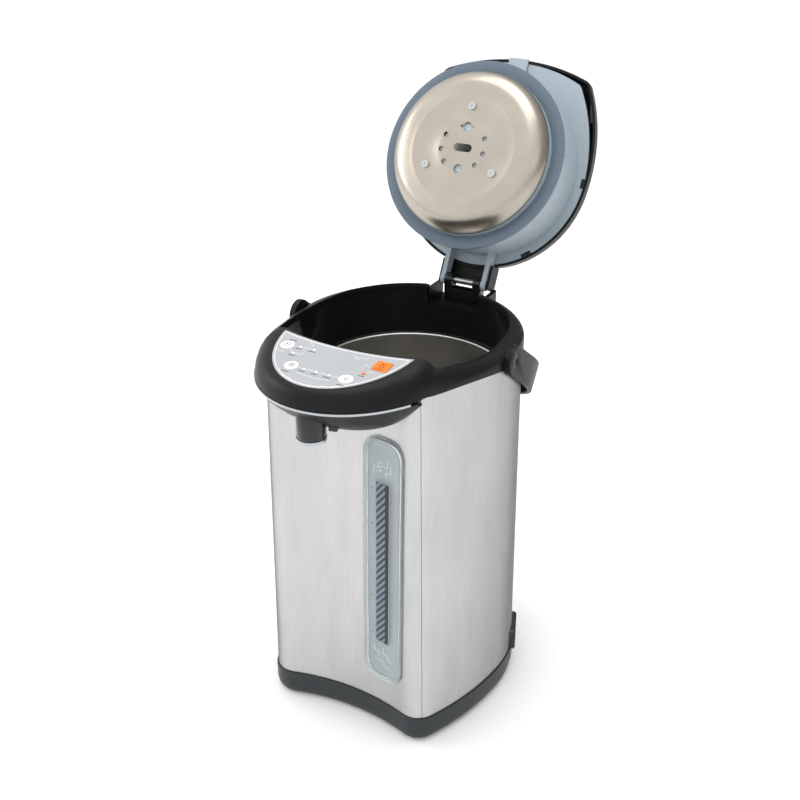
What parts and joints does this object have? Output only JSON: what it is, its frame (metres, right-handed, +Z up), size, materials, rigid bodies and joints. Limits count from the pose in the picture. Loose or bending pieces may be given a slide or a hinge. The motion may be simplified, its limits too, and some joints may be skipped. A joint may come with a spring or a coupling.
{
  "type": "electric thermo pot",
  "caption": "Steel bodied hot water dispenser with a beaked spout, sloping key panel, level gauge, carrying bail and hinged lid that stands open over the water pot.",
  "frame": {"origin": "On the table, under the axis of the round back of the body, in the middle of the centre foot.", "axes": "+Z is up. -Y is the front, where the spout and the keys are. +X is to the right of a user who stands in front. The lid is drawn open."},
  "size_m": [0.2015, 0.3745, 0.5091],
  "materials": {
    "charcoal_plastic": "satin, fine grain",
    "base_plastic": "satin",
    "black_plastic": "glossy moulded",
    "steel_sheet": "brushed upright",
    "polished_steel": "spun and polished",
    "bright_trim": "plated, bright",
    "panel_film": "satin printed film",
    "white_key": "satin",
    "orange_key": "satin",
    "lamp": "clear tipped",
    "clear_plastic": "clear moulded",
    "gauge_backing": "satin",
    "dark_strip": "matt",
    "liner_plastic": "translucent moulded",
    "silicone": "matt silicone",
    "pale_silicone": "matt silicone",
    "foot_rubber": "matt",
    "zinc_steel": "zinc plated",
    "aluminium": "as rolled",
    "white_nylon": "as moulded",
    "board": "lacquered board",
    "brass": "bright",
    "spring_steel": "bright wire"
  },
  "bodies": {
    "base": {"base_housing": "base_plastic", "bottom_cover": "base_plastic", "rubber_feet": "foot_rubber", "base_screws": "zinc_steel", "front_panel": "steel_sheet", "rear_shell": "steel_sheet", "collar": "charcoal_plastic", "collar_liner": "black_plastic", "spout_chin": "charcoal_plastic", "chrome_trim": "bright_trim", "nozzle": "black_plastic", "nozzle_ring": "bright_trim", "spout_pipe": "white_nylon", "riser_tube": "pale_silicone", "manifold": "white_nylon", "suction_hose": "pale_silicone", "control_panel": "panel_film", "indicator_leds": "lamp", "control_board": "board", "board_screws": "zinc_steel", "gauge_lens": "clear_plastic", "gauge_backing": "gauge_backing", "gauge_tube": "clear_plastic", "gauge_strip": "dark_strip", "inner_pot": "polished_steel", "pot_gasket": "pale_silicone", "heat_shield": "zinc_steel", "heater_plate": "aluminium", "thermostats": "brass", "thermal_fuse": "pale_silicone", "pump_housing": "white_nylon", "pump_motor": "zinc_steel", "power_board": "board", "power_inlet": "black_plastic", "inlet_pins": "brass", "hinge_post": "black_plastic", "hinge_pin": "zinc_steel", "handle_bosses": "black_plastic"},
    "lid": {"lid_cover": "charcoal_plastic", "lid_liner": "liner_plastic", "lid_gasket": "silicone", "lid_plate": "polished_steel", "plate_screws": "zinc_steel", "lever_pin": "zinc_steel", "lever_spring": "spring_steel", "steam_duct": "white_nylon"},
    "lever": {"lid_lever": "black_plastic"},
    "latch": {"lid_latch": "liner_plastic"},
    "bail": {"bail_handle": "charcoal_plastic"},
    "dispense_key": {"dispense_button": "orange_key"},
    "unlock_key": {"unlock_button": "white_key"},
    "reboil_key": {"reboil_button": "white_key"},
    "warm_key": {"warm_button": "white_key"},
    "impeller": {"pump_impeller": "dark_strip"}
  },
  "joints": [
    {"name": "lid_hinge", "type": "hinge", "parent": "base", "child": "lid", "pos_m": [0, 0.11, 0.3284], "axis": [1, 0, 0], "range_deg": [0, 118.1]},
    {"name": "bail_swing", "type": "hinge", "parent": "base", "child": "bail", "pos_m": [0, -0.004, 0.3195], "axis": [1, 0, 0], "range_deg": [0, 30]},
    {"name": "lever_turn", "type": "hinge", "parent": "lid", "child": "lever", "pos_m": [0, 0.21152, 0.48902], "axis": [1, 0, 0], "range_deg": [0, 18], "stiffness_Nm_per_rad": 0.02, "springref_deg": -11.46},
    {"name": "latch_slide", "type": "slide", "parent": "lid", "child": "latch", "axis": [0, -0.471, -0.8821], "range_m": [0, 0.0026]},
    {"name": "dispense_press", "type": "slide", "parent": "base", "child": "dispense_key", "axis": [0, 0.1191, -0.9929], "range_m": [0, 0.0008], "stiffness_N_per_m": 400, "springref_m": -0.0005},
    {"name": "unlock_press", "type": "slide", "parent": "base", "child": "unlock_key", "axis": [0, 0.1191, -0.9929], "range_m": [0, 0.0008], "stiffness_N_per_m": 400, "springref_m": -0.0005},
    {"name": "reboil_press", "type": "slide", "parent": "base", "child": "reboil_key", "axis": [0, 0.1191, -0.9929], "range_m": [0, 0.0008], "stiffness_N_per_m": 400, "springref_m": -0.0005},
    {"name": "warm_press", "type": "slide", "parent": "base", "child": "warm_key", "axis": [0, 0.1191, -0.9929], "range_m": [0, 0.0008], "stiffness_N_per_m": 400, "springref_m": -0.0005},
    {"name": "impeller_spin", "type": "hinge", "parent": "base", "child": "impeller", "pos_m": [0, -0.034, 0.042], "axis": [0, 0, 1], "continuous": true}
  ],
  "couplings": [
    {"joint": "latch_slide", "follows": "lever_turn", "m_per_rad": 0.00796}
  ]
}
